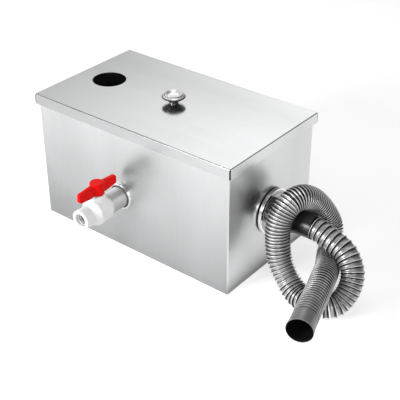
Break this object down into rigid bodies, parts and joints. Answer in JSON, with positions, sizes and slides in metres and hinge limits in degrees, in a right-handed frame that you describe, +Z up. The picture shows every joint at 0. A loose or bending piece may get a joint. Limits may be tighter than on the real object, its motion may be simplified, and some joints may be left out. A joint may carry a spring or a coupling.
{
  "type": "grease trap",
  "caption": "Stainless steel countertop grease trap: folded tank with a lift-off lid, round top inlet, front ball valve for skimming and a corrugated waste hose on the end outlet.",
  "frame": {"origin": "middle of the tank footprint on the floor", "axes": "+X to the outlet end, -Y to the side with the drain valve, +Z up"},
  "size_m": [0.5169, 0.2815, 0.2155],
  "materials": {
    "sheet_steel": "satin",
    "polished_steel": "polished",
    "turned_steel": "turned",
    "rubber": "matte",
    "cuff_rubber": "satin",
    "hose_plastic": "satin",
    "white_plastic": "gloss",
    "seat_plastic": "waxy",
    "red_plastic": "gloss"
  },
  "bodies": {
    "trap": {"tank_shell": "sheet_steel", "inlet_weir": "sheet_steel", "outlet_partition": "sheet_steel", "ledge_front": "sheet_steel", "ledge_back": "sheet_steel", "filter_basket": "sheet_steel", "basket_strap": "sheet_steel", "lid": "sheet_steel", "lid_skirt_front": "sheet_steel", "lid_skirt_back": "sheet_steel", "lid_skirt_right": "sheet_steel", "lid_skirt_left": "sheet_steel", "lid_knob": "polished_steel", "knob_washer": "turned_steel", "knob_screw": "turned_steel", "outlet_gasket": "rubber", "outlet_fitting": "polished_steel", "outlet_washer": "rubber", "outlet_nut": "turned_steel", "outlet_cuff": "cuff_rubber", "waste_hose": "hose_plastic", "hose_end_cuff": "hose_plastic", "drain_ring": "polished_steel", "drain_socket": "turned_steel", "drain_washer": "rubber", "drain_nut": "turned_steel", "valve_tail": "white_plastic", "valve_body": "white_plastic", "seat_rear": "seat_plastic", "seat_front": "seat_plastic"},
    "spindle": {"valve_ball": "white_plastic", "valve_stem": "white_plastic", "stem_ring": "rubber", "valve_handle": "red_plastic"}
  },
  "joints": [
    {"name": "valve_turn", "type": "hinge", "parent": "trap", "child": "spindle", "pos_m": [-0.018, -0.144, 0.087], "axis": [0, 0, 1], "range_deg": [-90, 0]}
  ]
}
